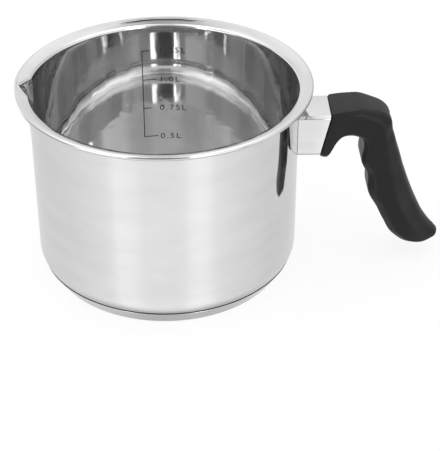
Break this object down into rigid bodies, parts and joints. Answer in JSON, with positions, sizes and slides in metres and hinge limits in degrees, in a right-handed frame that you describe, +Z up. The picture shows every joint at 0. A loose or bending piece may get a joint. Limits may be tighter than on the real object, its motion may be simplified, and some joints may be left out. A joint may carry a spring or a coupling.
{
  "type": "milk pan",
  "caption": "Tall round pan with a flared pouring rim, one spout opposite a fixed handle that bends down, and a capsule base.",
  "frame": {"origin": "on the pan's axis at the bottom face of its base", "axes": "+Z up along the pan's axis, +X from the axis to the handle, the pouring spout points to -X"},
  "size_m": [0.2265, 0.1544, 0.1079],
  "materials": {
    "polished_steel": "mirror polished stainless steel",
    "turned_steel": "turned and polished stainless steel",
    "core_aluminium": "plain rolled",
    "plain_steel": "plain pressed steel",
    "zinc_steel": "zinc plated",
    "black_phenolic": "satin moulded phenolic"
  },
  "bodies": {
    "root": {"pan_body": "polished_steel", "base_core": "core_aluminium", "base_cap": "turned_steel", "handle_bracket": "plain_steel", "bracket_nut": "zinc_steel", "ferrule": "polished_steel", "handle": "black_phenolic", "handle_screw": "zinc_steel", "screw_washer": "zinc_steel", "spring_washer": "zinc_steel"}
  },
  "joints": []
}
